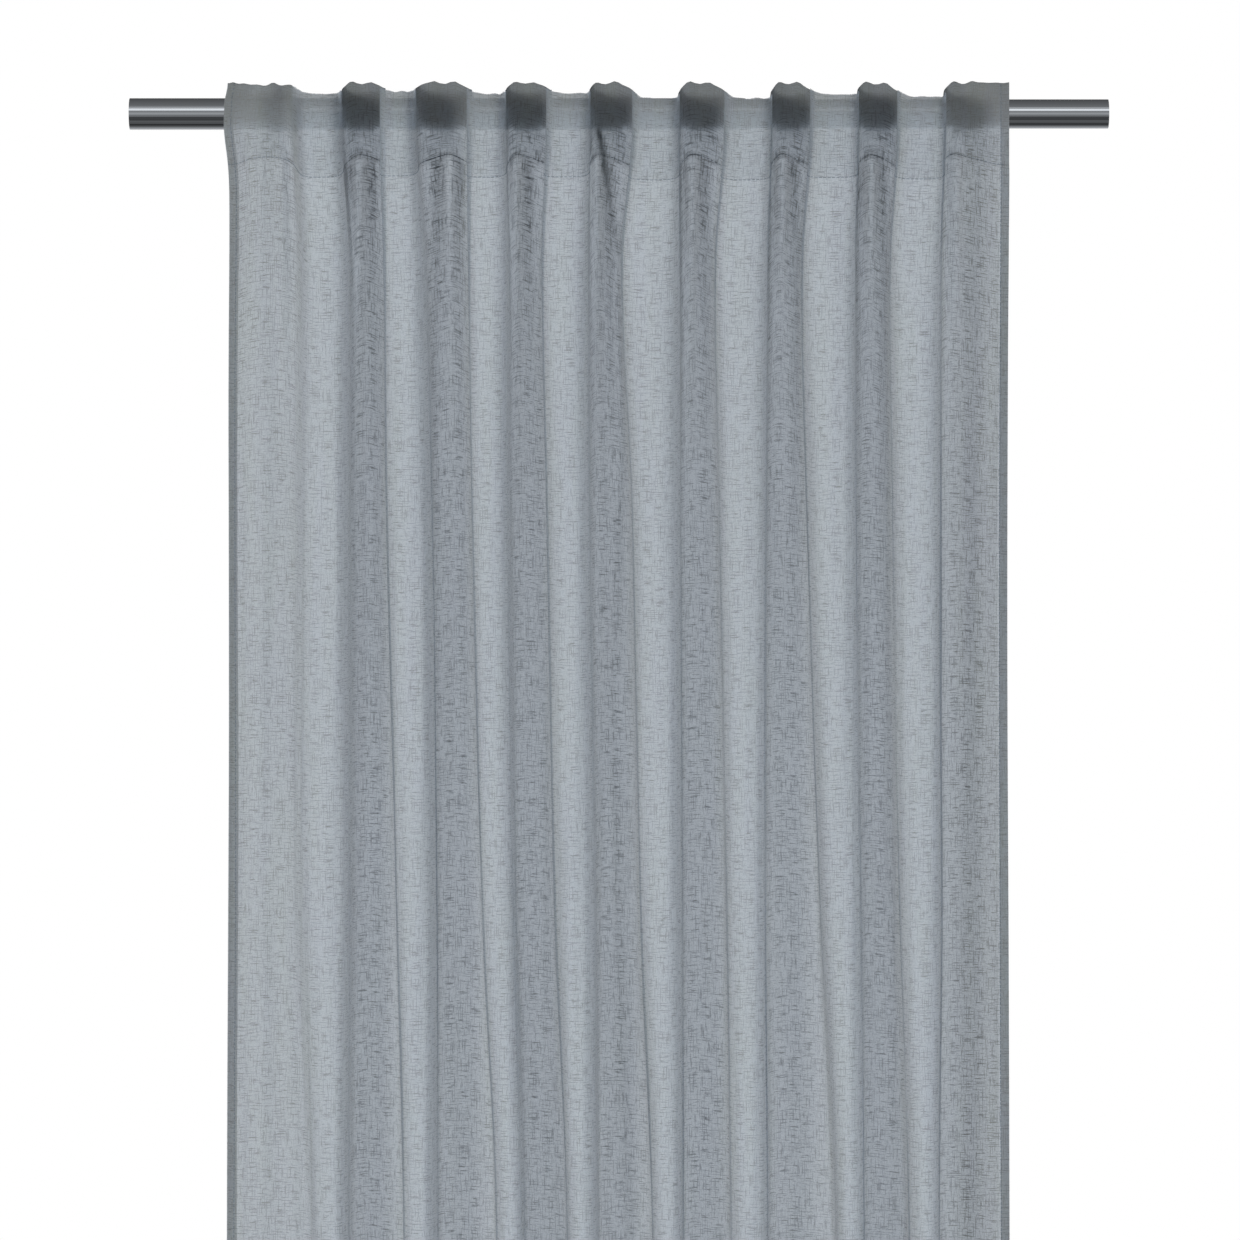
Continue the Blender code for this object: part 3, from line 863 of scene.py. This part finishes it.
def webbingMaterial():
    # woven polyester loop tape, undyed grey-white with fine ribs across the band; the grooves between the
    # ribs are coloured darker, painted shade
    material, tree = newMaterial("wovenLoopTape")
    place = addNode(tree, "ShaderNodeTexCoord").outputs["Object"]
    ribs = addNode(tree, "ShaderNodeTexWave",
                   {"wave_type": "BANDS", "bands_direction": "X", "Distortion": 1.2, "Detail": 1.0,
                    "Scale": 1000 / loopFinish["ribMm"] / (2 * math.pi)}, {"Vector": place}).outputs["Fac"]
    shade = addNode(tree, "ShaderNodeMix", {"data_type": "RGBA", 6: hexColour(loopFinish["grooveShade"]),
                                            7: hexColour(loopFinish["rib"])}, {"Factor": ribs})
    bump = addNode(tree, "ShaderNodeBump", {"Strength": 0.4, "Distance": 0.0003}, {"Height": ribs})
    shader = addNode(tree, "ShaderNodeBsdfPrincipled", {"Roughness": 0.9, "Sheen Weight": 0.2},
                     {"Base Color": shade.outputs[2], "Normal": bump.outputs[0]})
    through = addNode(tree, "ShaderNodeBsdfTranslucent", {}, {"Color": shade.outputs[2]})
    band = addNode(tree, "ShaderNodeMixShader", {"Fac": loopFinish["glowShare"]},
                   {1: shader.outputs[0], 2: through.outputs[0]})
    depth = addNode(tree, "ShaderNodeSeparateXYZ", {}, {"Vector": place}).outputs["Y"]
    sheer = addNode(tree, "ShaderNodeMapRange",
                    {"From Min": loopFinish["sewnTo"], "From Max": loopFinish["roundFrom"],
                     "To Min": loopFinish["sheerSewn"], "To Max": loopFinish["sheerRound"]},
                    {"Value": depth}).outputs[0]
    gaps = addNode(tree, "ShaderNodeBsdfTransparent")
    whole = addNode(tree, "ShaderNodeMixShader", {},
                    {"Fac": sheer, 1: band.outputs[0], 2: gaps.outputs[0]})
    addNode(tree, "ShaderNodeOutputMaterial", {}, {"Surface": whole.outputs[0]})
    return material


def finishRod():
    steel, nylon, webbing = steelMaterial(), nylonMaterial(), webbingMaterial()
    finishes = {"rod_outer_tube": steel, "rod_inner_tube": steel, "end_plug_left": nylon,
                "end_plug_right": nylon, "glide_collar": nylon}
    finishes.update({name: webbing for name in loopNames})
    for name, material in finishes.items():
        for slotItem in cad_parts[name].material_slots:
            slotItem.link = "OBJECT"
            slotItem.material = material


# A white studio: one large panel behind the cloth, two softer ones in front of it.
studio = {
    "viewWidth": 1.1093,         # what the camera takes in at the rod, m
    "viewCentre": (0.0009, -0.4527),
    "cameraAway": 5.0,
    # name: place, aim, size and watts
    "lights": {
        "backPanel": ((0.0, 8.0, -0.60), (0, 0, -0.60), (3.4, 2.8), 316.0),
        "keyLeft": ((-4.9, -6.0, 0.4), (0, 0, -0.6), (1.6, 2.4), 440.0),
        "fillRight": ((5.1, -5.9, 0.4), (0, 0, -0.6), (1.6, 2.4), 150.0),
    },
    "floorHalf": 4,
    "floorBelow": 0.012,
    "floor": "#e6e5e2",
    "coolness": 1.04,            # the room is a little blue
}
# the studio round the rod, by angle in degrees: 0 in front, 90 overhead, -90 below, 180 behind
roomBands = [
    (-180, 0.10), (-168, 0.55), (-150, 0.55), (-135, 0.40), (-118, 0.24), (-108, 0.12), (-99, 0.035),
    (-88, 0.04), (-78, 0.11), (-66, 0.15), (-57, 0.12), (-45, 0.055), (-30, 0.08), (-21, 0.17),
    (-12, 0.35), (-4, 0.44), (6, 0.46), (13, 0.30), (19, 0.26), (24, 0.60), (28, 1.20), (37, 1.20),
    (42, 0.50), (48, 0.24), (75, 0.17), (100, 0.14), (125, 0.11), (150, 0.08), (180, 0.08),
]


def buildWorld():
    world = bpy.data.worlds.new("whiteStudio")
    bpy.context.scene.world = world
    world.use_nodes = True
    tree = world.node_tree
    tree.nodes.clear()
    way = addNode(tree, "ShaderNodeTexCoord").outputs["Generated"]
    parts = addNode(tree, "ShaderNodeSeparateXYZ", {}, {"Vector": way})
    towards = addNode(tree, "ShaderNodeMath", {"operation": "MULTIPLY", 1: -1.0}, {0: parts.outputs["Y"]})
    angle = addNode(tree, "ShaderNodeMath", {"operation": "ARCTAN2"},
                    {0: parts.outputs["Z"], 1: towards.outputs[0]})
    share = addNode(tree, "ShaderNodeMapRange", {"From Min": -math.pi, "From Max": math.pi},
                    {"Value": angle.outputs[0]})
    bands = addNode(tree, "ShaderNodeValToRGB", {}, {"Fac": share.outputs[0]})
    stops = bands.color_ramp.elements
    for degrees, _ in roomBands[1:-1]:
        stops.new((degrees + 180) / 360)
    for stop, (_, value) in zip(stops, roomBands):
        stop.color = (value, value, value * studio["coolness"], 1)
    room = addNode(tree, "ShaderNodeBackground", {}, {"Color": bands.outputs[0]})
    paper = addNode(tree, "ShaderNodeBackground", {"Color": (1, 1, 1, 1), "Strength": 1.0})
    seen = addNode(tree, "ShaderNodeLightPath").outputs["Is Camera Ray"]
    both = addNode(tree, "ShaderNodeMixShader", {}, {"Fac": seen, 1: room.outputs[0], 2: paper.outputs[0]})
    addNode(tree, "ShaderNodeOutputWorld", {}, {"Surface": both.outputs[0]})


def softLight(name, place, aim, size, watts):
    data = bpy.data.lights.new(name, "AREA")
    data.shape = "RECTANGLE"
    data.size, data.size_y = size
    data.energy = watts
    light = bpy.data.objects.new(name, data)
    bpy.context.scene.collection.objects.link(light)
    light.location = place
    light.rotation_euler = (Vector(aim) - Vector(place)).to_track_quat("-Z", "Y").to_euler()
    light.visible_camera = False
    light.visible_glossy = False


def buildFloor():
    # painted board, matt and pale
    material, tree = newMaterial("paleFloor")
    shader = addNode(tree, "ShaderNodeBsdfPrincipled",
                     {"Base Color": hexColour(studio["floor"]), "Roughness": 0.8})
    addNode(tree, "ShaderNodeOutputMaterial", {}, {"Surface": shader.outputs[0]})
    half, floorZ = studio["floorHalf"], cadBox[0][2] - studio["floorBelow"]
    corners = [(-half, -half, floorZ), (half, -half, floorZ), (half, half, floorZ), (-half, half, floorZ)]
    floor = newPiece("studioFloor", corners, [(0, 1, 2, 3)], material)
    floor.visible_glossy = False


def buildStudio():
    buildWorld()
    for name, settings in studio["lights"].items():
        softLight(name, *settings)
    buildFloor()
    cameraData = bpy.data.cameras.new("camera")
    cameraData.sensor_width = 36.0
    cameraData.lens = cameraData.sensor_width * studio["cameraAway"] / studio["viewWidth"]
    camera = bpy.data.objects.new("camera", cameraData)
    bpy.context.scene.collection.objects.link(camera)
    centreX, centreZ = studio["viewCentre"]
    camera.location = (centreX, -studio["cameraAway"], centreZ)
    camera.rotation_euler = (math.pi / 2, 0, 0)
    bpy.context.scene.camera = camera
    bpy.context.scene.view_settings.view_transform = "Standard"


print("studio and camera")
buildStudio()
print("curtain")
buildCurtain()
print("rod and loops")
finishRod()
